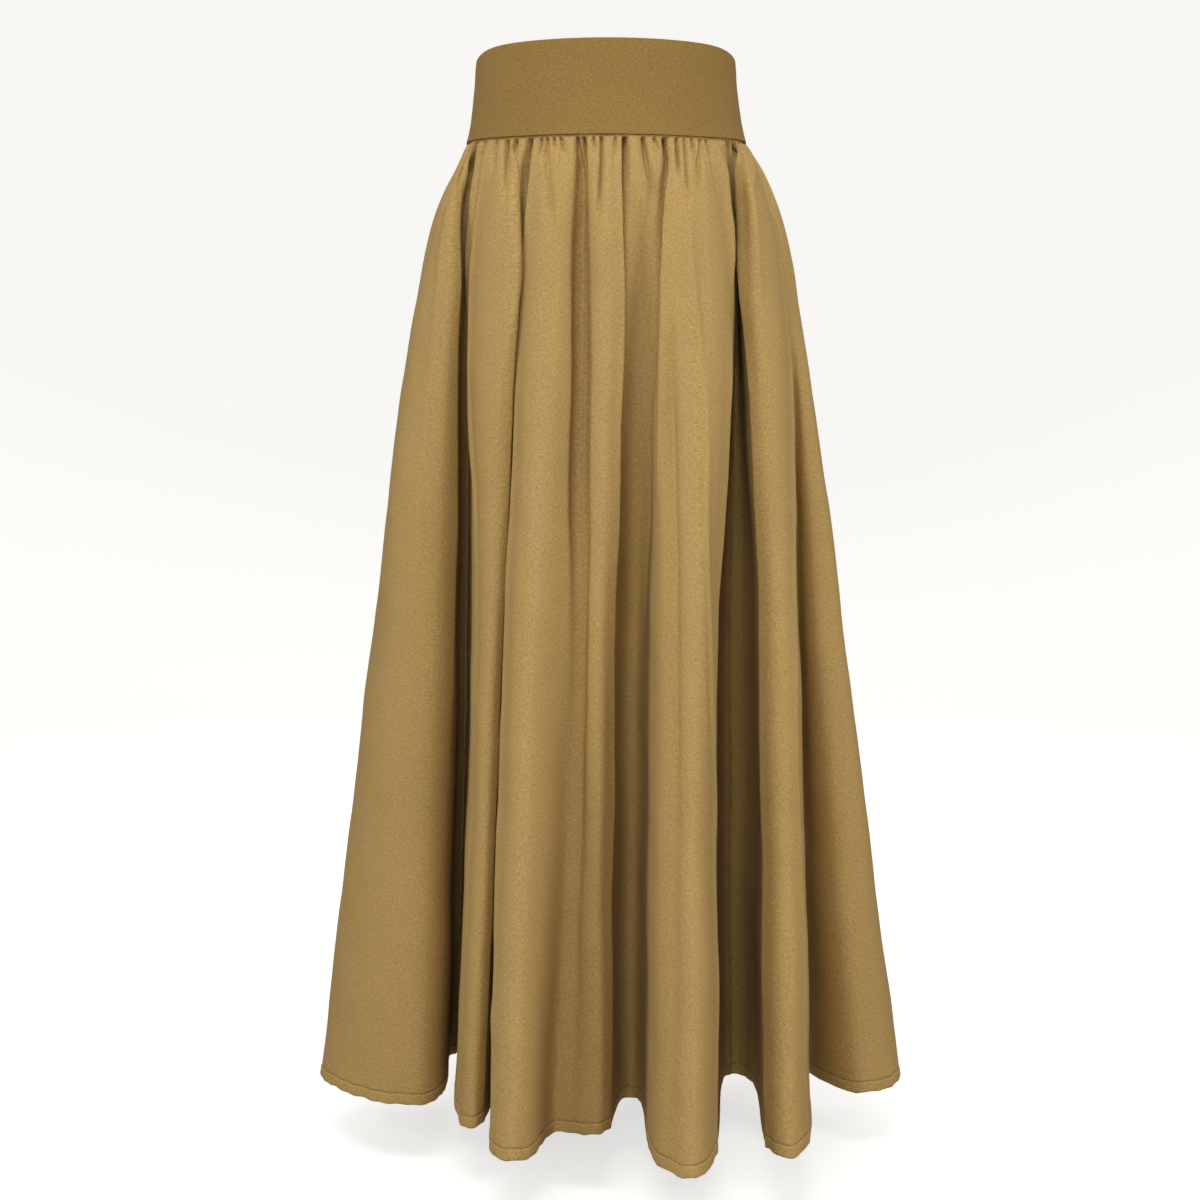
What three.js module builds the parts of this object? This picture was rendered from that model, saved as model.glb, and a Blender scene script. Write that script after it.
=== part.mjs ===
// A maxi skirt: a tall smooth waistband over a gathered skirt that falls in deep
// folds from the hips to the floor. Worn shape, hollow, open at waist and hem.
// Millimetres, +Z up, the front faces -Y, the middle of the waist is the origin.
// X runs to the viewer's right; "out" below is the distance forward, so y = -out.
import * as THREE from 'three';

// Waistband: height of each ring, its half width and half depth at the outer face.
const BAND_TOP = 22;
const BAND_BOTTOM = -66;
const BAND_WALL = 2.4;
const BAND_ROUND = 0.7;
const BAND_RINGS = [
  { z: BAND_BOTTOM, halfWidth: 135.0, halfDepth: 95.0 },
  { z: -58, halfWidth: 132.8, halfDepth: 93.8 },
  { z: -46, halfWidth: 130.4, halfDepth: 92.8 },
  { z: -28, halfWidth: 128.2, halfDepth: 91.6 },
  { z: -6, halfWidth: 126.0, halfDepth: 90.3 },
  { z: 12, halfWidth: 125.2, halfDepth: 89.8 },
  { z: BAND_TOP - BAND_ROUND, halfWidth: 124.4, halfDepth: 89.4 },
];
const BAND_COLUMNS = 30;

// Skirt: one layer of cloth, with its raw top tucked up inside the band.
const SEAM_GAP = 0.3;
const SKIRT_WALL = 1.2;
const TUCK_INSET = 1.2;
const TURN_UP = 11;
const TURN_UP_WALL = 2.0;
const SEAM_HALF_WIDTH = 135.0 - BAND_WALL - SEAM_GAP;
const SEAM_HALF_DEPTH = 95.0 - BAND_WALL - SEAM_GAP;
const SEAM_Z = -67;
const HIP_Z = -220;
const KNEE_Z = -520;
const HEM_Z = -975;
const TUCK_Z = -62.5;
// How much faster the cloth swells out right under the band than on its way to the hip.
const PUFF = 2.5;
// How much of the slope above the hip lasts at the hip, the rest being that below it.
const HIP_PULL = 0.22;
// Share of a fold's hem breadth that it has at the knee.
const KNEE_SHARE = 0.85;

// Small gathers under the band.
// Height of a gather as a share of its width, and how sharp its notch is.
const GATHER_RISE = 0.19;
const GATHER_NOTCH = 2.6;
const GATHER_START = 7;
const GATHER_SHORTEST = 16;
const GATHER_SPREAD = 50;
const COLUMNS_PER_GATHER = 4;

// The folds, once round the skirt, ridge and valley in turn.
// at: where it leaves the waist, degrees from the front, clockwise seen from below.
// The pairs are [x, out] of the tip of a ridge or the floor of a valley.
// faces: the way it points at the hem, in degrees. left, right: how far the curve
// runs flat to each side there. early: share of that breadth at the hip.
// gathers: number of small gathers between this row and the next.
const FOLDS = [
  { name: 'left side', at: -96, hip: [-186, 0], knee: [-227, -2], hem: [-285, -5],
    faces: -82, left: 45, right: 45, early: 0.6, gathers: 3 },
  { name: 'fold one', at: -79, hip: [-157, 72], knee: [-171, 88], hem: [-184, 104],
    faces: -8, left: 50, right: 60, early: 0.6, gathers: 2 },
  { name: 'left seam valley', at: -67, hip: [-132, 36], knee: [-138, -8], hem: [-154, -70],
    faces: 0, left: 20, right: 12, early: 0.6, gathers: 3 },
  { name: 'fold two', at: -50, hip: [-103, 112], knee: [-107, 136], hem: [-124, 166],
    faces: 0, left: 34, right: 30, early: 0.65, gathers: 3 },
  { name: 'valley two', at: -33, hip: [-79, 84], knee: [-92, 62], hem: [-102, 40],
    faces: 0, left: 10, right: 12, early: 0.6, gathers: 2 },
  { name: 'fold three', at: -22, hip: [-52, 130], knee: [-66, 184], hem: [-82, 254],
    faces: 0, left: 38, right: 22, early: 0.6, gathers: 2 },
  { name: 'dip', at: -11, hip: [-24, 118], knee: [-26, 146], hem: [-45, 177],
    faces: 0, left: 16, right: 20, early: 0.6, gathers: 1.5 },
  { name: 'fold four', at: -2, hip: [-2, 134], knee: [-8, 162], hem: [-10, 190],
    faces: 0, left: 20, right: 24, early: 0.6, gathers: 2 },
  { name: 'valley four', at: 10, hip: [33, 110], knee: [26, 92], hem: [24, 72],
    faces: -40, left: 12, right: 12, early: 0.8, gathers: 4 },
  { name: 'fold five', at: 36, hip: [92, 127], knee: [76, 198], hem: [73, 293],
    faces: 0, left: 60, right: 42, early: 0.95, gathers: 4 },
  { name: 'right seam valley', at: 61, hip: [124.5, 26], knee: [121, 12], hem: [124, -2],
    faces: 5, left: 24, right: 48, early: 0.2, gathers: 3 },
  { name: 'fold six', at: 72, hip: [149, 92], knee: [159, 152], hem: [160, 244],
    faces: 4, left: 34, right: 40, early: 0.6, gathers: 2.5 },
  { name: 'valley six', at: 82, hip: [173, 34], knee: [186, 14], hem: [201, 0],
    faces: 0, left: 8, right: 8, early: 0.6, gathers: 1.5 },
  { name: 'fold seven', at: 89, hip: [183, 22], knee: [212, 42], hem: [252, 62],
    faces: 20, left: 30, right: 30, early: 0.3, gathers: 1.5 },
  { name: 'right side', at: 96, hip: [186, -14], knee: [230, -4], hem: [293, 0],
    faces: 85, left: 25, right: 25, early: 0.5, gathers: 2 },
  { name: 'back valley one', at: 109, hip: [164, -54], knee: [182, -52], hem: [214, -54],
    faces: 104, left: 16, right: 16, early: 0.6, gathers: 2 },
  { name: 'back fold one', at: 122, hip: [152, -92], knee: [196, -112], hem: [250, -136],
    faces: 118, left: 38, right: 38, early: 0.6, gathers: 2 },
  { name: 'back valley two', at: 134, hip: [116, -96], knee: [116, -98], hem: [117, -102],
    faces: 131, left: 16, right: 16, early: 0.6, gathers: 2 },
  { name: 'back fold two', at: 145, hip: [98, -122], knee: [132, -168], hem: [173, -230],
    faces: 143, left: 38, right: 38, early: 0.6, gathers: 2 },
  { name: 'back valley three', at: 156, hip: [66, -114], knee: [68, -134], hem: [72, -158],
    faces: 155, left: 18, right: 18, early: 0.6, gathers: 2 },
  { name: 'back fold three', at: 168, hip: [38, -136], knee: [50, -198], hem: [68, -274],
    faces: 166, left: 38, right: 38, early: 0.6, gathers: 2 },
  { name: 'back seam valley', at: 180, hip: [2, -118], knee: [3, -130], hem: [5, -146],
    faces: 178, left: 16, right: 16, early: 0.6, gathers: 2 },
  { name: 'back fold four', at: 193, hip: [-30, -136], knee: [-34, -200], hem: [-39, -280],
    faces: 188, left: 38, right: 38, early: 0.6, gathers: 2 },
  { name: 'back valley five', at: 205, hip: [-60, -114], knee: [-60, -140], hem: [-60, -168],
    faces: 200, left: 18, right: 18, early: 0.6, gathers: 2 },
  { name: 'back fold five', at: 216, hip: [-96, -124], knee: [-120, -176], hem: [-150, -240],
    faces: 212, left: 38, right: 38, early: 0.6, gathers: 2 },
  { name: 'back valley six', at: 228, hip: [-112, -92], knee: [-104, -94], hem: [-96, -100],
    faces: 224, left: 16, right: 16, early: 0.6, gathers: 2 },
  { name: 'back fold six', at: 240, hip: [-150, -88], knee: [-192, -116], hem: [-236, -150],
    faces: 238, left: 38, right: 38, early: 0.6, gathers: 2 },
  { name: 'back valley seven', at: 252, hip: [-160, -50], knee: [-178, -54], hem: [-202, -58],
    faces: 254, left: 16, right: 16, early: 0.6, gathers: 2 },
];
const GATHERS_ROUND = FOLDS.reduce((total, fold) => total + fold.gathers, 0);
const LEFT_SEAM = 2;
const RIGHT_SEAM = 10;
const BACK_SEAM = 21;

// Heights of the rings of the skirt's mesh, closer together under the band.
const SKIRT_RINGS = [
  TUCK_Z, SEAM_Z, -73, -84, -104, -145, HIP_Z, -310, -430, -580, -760,
  HEM_Z + TURN_UP + 2, HEM_Z + TURN_UP, HEM_Z,
];

const radians = (degrees) => degrees * Math.PI / 180;

// A value that is known at seam, hip, knee and hem, at any height between them.
function alongHeight(z, seam, hip, knee, hem, start) {
  const heights = [SEAM_Z, HIP_Z, KNEE_Z, HEM_Z];
  const values = [seam, hip, knee, hem];
  const slopes = [0, 1, 2].map((i) => (values[i + 1] - values[i]) / (heights[i + 1] - heights[i]));
  const tangents = [
    start * slopes[0],
    HIP_PULL * slopes[0] + (1 - HIP_PULL) * slopes[1],
    (slopes[1] + slopes[2]) / 2,
    slopes[2],
  ];
  const i = z >= HIP_Z ? 0 : (z >= KNEE_Z ? 1 : 2);
  const step = heights[i + 1] - heights[i];
  const s = (Math.min(z, SEAM_Z) - heights[i]) / step;
  const s2 = s * s;
  const s3 = s2 * s;
  return (2 * s3 - 3 * s2 + 1) * values[i] + (s3 - 2 * s2 + s) * step * tangents[i]
    + (3 * s2 - 2 * s3) * values[i + 1] + (s3 - s2) * step * tangents[i + 1];
}

// One ridge tip or valley floor at height z: its place, its sideways way, its breadths.
function foldAt(index, z) {
  const count = FOLDS.length;
  const fold = FOLDS[index];
  const turn = radians(fold.at);
  const before = FOLDS[(index + count - 1) % count].at - (index === 0 ? 360 : 0);
  const after = FOLDS[(index + 1) % count].at + (index === count - 1 ? 360 : 0);
  const seamX = SEAM_HALF_WIDTH * Math.sin(turn);
  const seamOut = SEAM_HALF_DEPTH * Math.cos(turn);
  const reach = Math.hypot(SEAM_HALF_WIDTH * Math.cos(turn), SEAM_HALF_DEPTH * Math.sin(turn));
  let square = Math.atan2(Math.sin(turn) / SEAM_HALF_WIDTH, Math.cos(turn) / SEAM_HALF_DEPTH);
  if (square < turn - Math.PI) square += 2 * Math.PI;
  const faces = radians(fold.faces);
  const way = alongHeight(z, square, (square + faces) / 2, faces, faces, 1);
  const knee = KNEE_SHARE;
  return {
    x: alongHeight(z, seamX, fold.hip[0], fold.knee[0], fold.hem[0], PUFF),
    out: alongHeight(z, seamOut, fold.hip[1], fold.knee[1], fold.hem[1], PUFF),
    acrossX: Math.cos(way),
    acrossOut: -Math.sin(way),
    left: alongHeight(z, reach * radians(fold.at - before) / 3,
      fold.early * fold.left, knee * fold.left, fold.left, 1),
    right: alongHeight(z, reach * radians(after - fold.at) / 3,
      fold.early * fold.right, knee * fold.right, fold.right, 1),
  };
}

// The smooth curve of the cloth in plan between fold row i and the next, t from 0 to 1.
function between(index, t, z) {
  const a = foldAt(index, z);
  const b = foldAt((index + 1) % FOLDS.length, z);
  const ends = [
    [a.x, a.out],
    [a.x + a.acrossX * a.right, a.out + a.acrossOut * a.right],
    [b.x - b.acrossX * b.left, b.out - b.acrossOut * b.left],
    [b.x, b.out],
  ];
  const u = 1 - t;
  const place = [u * u * u, 3 * t * u * u, 3 * t * t * u, t * t * t];
  const speed = [-3 * u * u, 3 * u * u - 6 * t * u, 6 * t * u - 3 * t * t, 3 * t * t];
  const sum = (weights, axis) => weights.reduce((total, w, k) => total + w * ends[k][axis], 0);
  const alongX = sum(speed, 0);
  const alongOut = sum(speed, 1);
  const length = Math.hypot(alongX, alongOut);
  return {
    x: sum(place, 0),
    out: sum(place, 1),
    alongX: alongX / length,
    alongOut: alongOut / length,
  };
}

// Width of a gather at fold row i, from the cloth that its neighbours share out.
function gatherWidth(index) {
  const count = FOLDS.length;
  const turn = radians(FOLDS[index].at);
  const before = FOLDS[(index + count - 1) % count];
  const after = FOLDS[(index + 1) % count];
  const span = (after.at - before.at + 360) % 360;
  const reach = Math.hypot(SEAM_HALF_WIDTH * Math.cos(turn), SEAM_HALF_DEPTH * Math.sin(turn));
  return reach * radians(span) / (before.gathers + FOLDS[index].gathers);
}

// Gathers: rounded puffs with narrow notches between them, each of its own length.
function gatherRise(number, width, z) {
  const drop = SEAM_Z - z;
  if (drop <= 0) return 0;
  const chanceOf = (n) => Math.abs(Math.sin((n + 1) * 12.9898) * 43758.5453) % 1;
  const whole = Math.floor(number);
  const part = number - whole;
  const blend = part * part * (3 - 2 * part);
  const chance = chanceOf(whole % GATHERS_ROUND) * (1 - blend)
    + chanceOf((whole + 1) % GATHERS_ROUND) * blend;
  const length = GATHER_SHORTEST + GATHER_SPREAD * chance * chance;
  const height = GATHER_RISE * width * (0.5 + 0.8 * chance) * Math.min(drop / GATHER_START, 1);
  const fade = Math.exp(-Math.pow(drop / length, 1.5));
  const notch = Math.pow(Math.abs(Math.cos(Math.PI * number)), GATHER_NOTCH);
  return height * fade * (1 - 2 * notch);
}

// All columns of one panel: fold row, place between the rows, running gather number.
function panelColumns(first, last) {
  const count = FOLDS.length;
  const widthAt = (row, t) => gatherWidth(row) * (1 - t) + gatherWidth((row + 1) % count) * t;
  const numberAt = (row) => FOLDS.slice(0, row).reduce((total, fold) => total + fold.gathers, 0);
  const columns = [];
  for (let row = first; row !== last; row = (row + 1) % count) {
    const steps = Math.round(FOLDS[row].gathers * COLUMNS_PER_GATHER);
    for (let k = 0; k < steps; k += 1) {
      const t = k / steps;
      const number = numberAt(row) + k / COLUMNS_PER_GATHER;
      columns.push({ row, t, number, width: widthAt(row, t) });
    }
  }
  columns.push({ row: last, t: 0, number: numberAt(last), width: widthAt(last, 0) });
  return columns;
}

// One ring of a panel: outer points, and inner points one wall thickness in.
function panelRing(columns, z) {
  const wall = z <= HEM_Z + TURN_UP ? TURN_UP_WALL : SKIRT_WALL;
  const points = columns.map(({ row, t, number, width }, k) => {
    const at = between(row, t, z);
    const rise = z > SEAM_Z ? -TUCK_INSET : gatherRise(number, width, z);
    const end = k === 0 ? 1 : (k === columns.length - 1 ? -1 : 0);
    return {
      x: at.x - at.alongOut * rise + at.alongX * end * SEAM_GAP / 2,
      out: at.out + at.alongX * rise + at.alongOut * end * SEAM_GAP / 2,
      alongX: at.alongX,
      alongOut: at.alongOut,
    };
  });
  const outer = points.map((p) => new THREE.Vector3(p.x, -p.out, z));
  const inner = points.map((p, k) => {
    let dx = p.alongX;
    let dOut = p.alongOut;
    if (k > 0 && k < points.length - 1) {
      dx = points[k + 1].x - points[k - 1].x;
      dOut = points[k + 1].out - points[k - 1].out;
    }
    const length = Math.hypot(dx, dOut);
    return new THREE.Vector3(p.x + dOut / length * wall, -(p.out - dx / length * wall), z);
  });
  return { outer, inner };
}

// A closed solid from rows of points that run round a section, open at both ends.
// sections[k] is a closed loop of points; neighbouring loops are joined, ends are filled.
function solidFromSections(sections) {
  const positions = [];
  const index = [];
  const around = sections[0].length;
  sections.forEach((loop) => loop.forEach((p) => positions.push(p.x, p.y, p.z)));
  for (let k = 0; k + 1 < sections.length; k += 1) {
    for (let j = 0; j < around; j += 1) {
      const next = (j + 1) % around;
      const a = k * around + j;
      const b = k * around + next;
      const c = a + around;
      const d = b + around;
      index.push(a, b, d, a, d, c);
    }
  }
  // The loop is a thin strip: half of it is the outer face, half the inner one.
  const half = around / 2;
  for (let j = 0; j + 1 < half; j += 1) {
    const mate = around - 1 - j;
    index.push(j, mate, mate - 1, j, mate - 1, j + 1);
    const end = (sections.length - 1) * around;
    index.push(end + j, end + j + 1, end + mate - 1, end + j, end + mate - 1, end + mate);
  }
  const geometry = new THREE.BufferGeometry();
  geometry.setAttribute('position', new THREE.Float32BufferAttribute(positions, 3));
  geometry.setIndex(index);
  geometry.computeVertexNormals();
  return geometry;
}

// A gathered panel of the skirt, from one seam row of the folds to another.
function skirtPanel(first, last) {
  const columns = panelColumns(first, last);
  const rings = SKIRT_RINGS.map((z) => panelRing(columns, z));
  const sections = columns.map((column, k) => [
    ...rings.map((ring) => ring.outer[k]),
    ...rings.slice().reverse().map((ring) => ring.inner[k]),
  ]);
  return solidFromSections(sections);
}

// Half of the waistband, from one side seam to the other.
function bandHalf(startDegrees) {
  const profile = [...BAND_RINGS].reverse().map((ring) => ({ ...ring, inset: 0 }));
  const top = { ...profile[0], z: BAND_TOP, inset: BAND_ROUND };
  const section = [top, ...profile];
  const inside = section.slice().reverse().map((ring) => ({ ...ring, inset: BAND_WALL - ring.inset }));
  const loop = [...section, ...inside];
  const sections = [];
  for (let k = 0; k <= BAND_COLUMNS; k += 1) {
    const end = k === 0 ? 1 : (k === BAND_COLUMNS ? -1 : 0);
    sections.push(loop.map((ring) => {
      const width = ring.halfWidth - ring.inset;
      const depth = ring.halfDepth - ring.inset;
      const trim = end * SEAM_GAP / 2 / depth;
      const turn = radians(startDegrees + 180 * k / BAND_COLUMNS) + trim;
      return new THREE.Vector3(width * Math.sin(turn), -depth * Math.cos(turn), ring.z);
    }));
  }
  return solidFromSections(sections);
}

const SKIRT_CLOTH = { color: 0xa98c58, roughness: 0.92, metalness: 0 };
const BAND_CLOTH = { color: 0x9a7e4b, roughness: 0.88, metalness: 0 };

function piece(name, geometry, cloth) {
  const mesh = new THREE.Mesh(geometry, new THREE.MeshStandardMaterial(cloth));
  mesh.name = name;
  return mesh;
}

const group = new THREE.Group();
group.name = 'maxi_skirt';
group.add(piece('waistband_front', bandHalf(-90), BAND_CLOTH));
group.add(piece('waistband_back', bandHalf(90), BAND_CLOTH));
group.add(piece('skirt_front', skirtPanel(LEFT_SEAM, RIGHT_SEAM), SKIRT_CLOTH));
group.add(piece('skirt_back_left', skirtPanel(RIGHT_SEAM, BACK_SEAM), SKIRT_CLOTH));
group.add(piece('skirt_back_right', skirtPanel(BACK_SEAM, LEFT_SEAM), SKIRT_CLOTH));

export default group;
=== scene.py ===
# %% [markdown]
# # A camel maxi skirt, draped and dressed in Blender
# The real skirt is three flared panels of crepe, gathered into a tall smooth waistband.
# Worn, its cloth hangs from the gathers in a dozen folds that open towards the hem.
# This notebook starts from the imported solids, replaces each one with a finer piece of
# cloth that follows the same folds, and then adds stitches, cloth finish, light and camera.

import math
from collections import namedtuple

import bmesh
import bpy
import numpy as np
from mathutils import Matrix, Vector


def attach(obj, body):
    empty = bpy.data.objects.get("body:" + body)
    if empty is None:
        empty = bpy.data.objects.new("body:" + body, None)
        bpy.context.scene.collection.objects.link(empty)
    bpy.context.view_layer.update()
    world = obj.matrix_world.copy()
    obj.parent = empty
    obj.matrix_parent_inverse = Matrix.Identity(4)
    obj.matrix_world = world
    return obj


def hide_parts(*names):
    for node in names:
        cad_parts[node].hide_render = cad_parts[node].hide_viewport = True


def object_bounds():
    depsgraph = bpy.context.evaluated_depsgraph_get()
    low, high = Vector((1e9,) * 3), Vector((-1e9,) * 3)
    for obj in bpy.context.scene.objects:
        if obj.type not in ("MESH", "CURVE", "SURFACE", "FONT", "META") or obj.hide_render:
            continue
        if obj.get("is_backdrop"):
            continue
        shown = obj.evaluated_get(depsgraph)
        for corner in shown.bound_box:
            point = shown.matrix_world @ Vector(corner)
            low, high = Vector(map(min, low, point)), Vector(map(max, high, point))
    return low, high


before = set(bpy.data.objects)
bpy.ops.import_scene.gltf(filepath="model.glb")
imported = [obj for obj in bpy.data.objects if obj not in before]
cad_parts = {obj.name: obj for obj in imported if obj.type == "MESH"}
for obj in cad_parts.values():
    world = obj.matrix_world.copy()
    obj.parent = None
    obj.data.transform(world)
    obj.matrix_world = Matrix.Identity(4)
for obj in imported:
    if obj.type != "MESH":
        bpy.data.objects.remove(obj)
cad_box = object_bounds()
print("pieces of the part:", sorted(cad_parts))
print("its box, m:", [round(v, 3) for v in cad_box[0]], [round(v, 3) for v in cad_box[1]])

# %% [markdown]
# ## Sizes
# Everything is worked out in millimetres, as a pattern cutter would write it, and turned
# into Blender's metres at the last moment. The origin is the middle of the waist.
# "out" is the distance forward of the middle, so a point's y is minus its out.

# %% Driving sizes
MM = 0.001
BAND_TOP = 22.0
BAND_BOTTOM = -66.0
BAND_WALL = 2.4
SEAM_Z = -67.0
HIP_Z = -220.0
KNEE_Z = -520.0
HEM_Z = -975.0
TUCK_Z = -62.5
TUCK_INSET = 1.2
SEAM_HALF_WIDTH = 132.3
SEAM_HALF_DEPTH = 92.3
TURN_UP = 11.0
PUFF = 2.5
HIP_PULL = 0.22
KNEE_SHARE = 0.85
print("skirt length below the band, mm:", BAND_BOTTOM - HEM_Z)

# %% [markdown]
# ## The folds
# A draped skirt is easiest to describe by its ridges and valleys, one row for each, once
# round the body. Each row gives the waist angle where the fold starts, and where its tip
# or floor is at hip, knee and hem. A cloth simulation finds folds too, but not these
# ones: the table puts each fold where the real skirt has it.

# %% The fold table
Fold = namedtuple("Fold", "at hip knee hem faces left right early gathers")
FOLDS = {
    "left side": Fold(-96, (-186, 0), (-227, -2), (-285, -5), -82, 45, 45, 0.6, 3),
    "fold one": Fold(-79, (-157, 72), (-171, 88), (-184, 104), -8, 50, 56, 0.6, 2),
    "left seam": Fold(-67, (-132, 36), (-138, -8), (-154, -70), 0, 20, 12, 0.6, 3),
    "fold two": Fold(-50, (-98, 112), (-105, 136), (-124, 166), -12, 32, 24, 1.35, 3),
    "valley two": Fold(-33, (-79, 84), (-92, 62), (-102, 40), 0, 12, 13, 0.6, 2),
    "fold three": Fold(-22, (-52, 130), (-66, 184), (-82, 254), 8, 48, 24, 0.72, 2),
    "dip": Fold(-11, (-24, 118), (-26, 146), (-45, 177), 0, 16, 20, 0.6, 1.5),
    "fold four": Fold(-2, (-2, 134), (-8, 162), (-10, 190), -10, 20, 24, 0.8, 2),
    "valley four": Fold(10, (33, 110), (26, 92), (24, 72), -8, 24, 26, 0.85, 4),
    "fold five": Fold(36, (92, 127), (79, 198), (75, 293), 5, 60, 38, 1.0, 4),
    "right seam": Fold(61, (124.5, 26), (121, 12), (124, -2), 5, 24, 52, 0.16, 3),
    "fold six": Fold(72, (149, 92), (159, 152), (163, 244), 12, 52, 35, 0.85, 2.5),
    "valley six": Fold(82, (173, 34), (186, 14), (201, 0), 0, 8, 8, 0.6, 1.5),
    "fold seven": Fold(89, (183, 22), (212, 42), (252, 62), 20, 30, 30, 0.3, 1.5),
    "right side": Fold(96, (186, -14), (230, -4), (293, 0), 85, 25, 25, 0.5, 2),
    "back valley one": Fold(109, (164, -54), (182, -52), (214, -54), 104, 16, 16, 0.6, 2),
    "back fold one": Fold(122, (152, -92), (196, -112), (250, -136), 118, 38, 38, 0.6, 2),
    "back valley two": Fold(134, (116, -96), (116, -98), (117, -102), 131, 16, 16, 0.6, 2),
    "back fold two": Fold(145, (98, -122), (132, -168), (173, -230), 143, 38, 38, 0.6, 2),
    "back valley three": Fold(156, (66, -114), (68, -134), (72, -158), 155, 18, 18, 0.6, 2),
    "back fold three": Fold(168, (38, -136), (50, -198), (68, -274), 166, 38, 38, 0.6, 2),
    "back seam": Fold(180, (2, -118), (3, -130), (5, -146), 178, 16, 16, 0.6, 2),
    "back fold four": Fold(193, (-30, -136), (-34, -200), (-39, -280), 188, 38, 38, 0.6, 2),
    "back valley five": Fold(205, (-60, -114), (-60, -140), (-60, -168), 200, 18, 18, 0.6, 2),
    "back fold five": Fold(216, (-96, -124), (-120, -176), (-150, -240), 212, 38, 38, 0.6, 2),
    "back valley six": Fold(228, (-112, -92), (-104, -94), (-96, -100), 224, 16, 16, 0.6, 2),
    "back fold six": Fold(240, (-150, -88), (-192, -116), (-236, -150), 238, 38, 38, 0.6, 2),
    "back valley seven": Fold(252, (-160, -50), (-178, -54), (-202, -58), 254, 16, 16, 0.6, 2),
}
NAMES = list(FOLDS)
ROWS = [FOLDS[name] for name in NAMES]
print("ridges and valleys:", len(ROWS))

# %% [markdown]
# ## From table to curve
# Between the four heights each size follows a smooth curve, steep right under the band
# where the gathers puff out. At one height, two neighbouring rows are joined by a Bezier
# curve whose handles lie flat across the ridge and across the valley, so that the cloth
# turns round each fold without a kink.

# %% Sizes between the four heights
def along_height(z, seam, hip, knee, hem, start):
    heights = np.array([SEAM_Z, HIP_Z, KNEE_Z, HEM_Z])
    values = np.array([seam, hip, knee, hem], dtype=float)
    slopes = np.diff(values) / np.diff(heights)
    tangents = np.array([
        start * slopes[0],
        HIP_PULL * slopes[0] + (1 - HIP_PULL) * slopes[1],
        (slopes[1] + slopes[2]) / 2,
        slopes[2],
    ])
    i = np.where(z >= HIP_Z, 0, np.where(z >= KNEE_Z, 1, 2))
    step = heights[i + 1] - heights[i]
    s = (np.minimum(z, SEAM_Z) - heights[i]) / step
    rest = (2 * s**3 - 3 * s**2 + 1) * values[i] + (3 * s**2 - 2 * s**3) * values[i + 1]
    return rest + step * ((s**3 - 2 * s**2 + s) * tangents[i] + (s**3 - s**2) * tangents[i + 1])


# %% Where each ridge and valley runs
SWAY = 0.6
SWAY_LENGTH = 260.0


def seam_reach(turn):
    return math.hypot(SEAM_HALF_WIDTH * math.cos(turn), SEAM_HALF_DEPTH * math.sin(turn))


def fold_lines(z):
    lines = []
    for i, fold in enumerate(ROWS):
        turn = math.radians(fold.at)
        before = ROWS[i - 1].at - (360 if i == 0 else 0)
        after = ROWS[(i + 1) % len(ROWS)].at + (360 if i == len(ROWS) - 1 else 0)
        square = math.atan2(math.sin(turn) / SEAM_HALF_WIDTH, math.cos(turn) / SEAM_HALF_DEPTH)
        if square < turn - math.pi:
            square += 2 * math.pi
        faces = math.radians(fold.faces)
        way = along_height(z, square, (square + faces) / 2, faces, faces, 1)
        share = seam_reach(turn) / 3
        sway = SWAY * np.clip((SEAM_Z - z) / 250, 0, 1)
        sway = sway * np.sin(2 * math.pi * z / SWAY_LENGTH + 2.4 * i)
        x = along_height(z, SEAM_HALF_WIDTH * math.sin(turn), fold.hip[0], fold.knee[0],
                         fold.hem[0], PUFF)
        out = along_height(z, SEAM_HALF_DEPTH * math.cos(turn), fold.hip[1], fold.knee[1],
                           fold.hem[1], PUFF)
        left = along_height(z, share * math.radians(fold.at - before), fold.early * fold.left,
                            KNEE_SHARE * fold.left, fold.left, 1)
        right = along_height(z, share * math.radians(after - fold.at), fold.early * fold.right,
                             KNEE_SHARE * fold.right, fold.right, 1)
        lines.append((x + sway * np.cos(way), out - sway * np.sin(way),
                      np.cos(way), -np.sin(way), left, right))
    return np.array(lines)


# %% The curve of the cloth in plan
def plan_curve(row, t, z):
    lines = fold_lines(z)
    ring = np.broadcast_to(np.arange(len(z)), row.shape)
    a = np.moveaxis(lines[row, :, ring], 2, 0)
    b = np.moveaxis(lines[(row + 1) % len(ROWS), :, ring], 2, 0)
    ends = (a[0:2], a[0:2] + a[2:4] * a[5], b[0:2] - b[2:4] * b[4], b[0:2])
    u = 1 - t
    place = (u**3, 3 * t * u**2, 3 * t**2 * u, t**3)
    speed = (-3 * u**2, 3 * u**2 - 6 * t * u, 6 * t * u - 3 * t**2, 3 * t**2)
    point = sum(w * e for w, e in zip(place, ends))
    along = sum(w * e for w, e in zip(speed, ends))
    return point, along / np.hypot(along[0], along[1])
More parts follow.
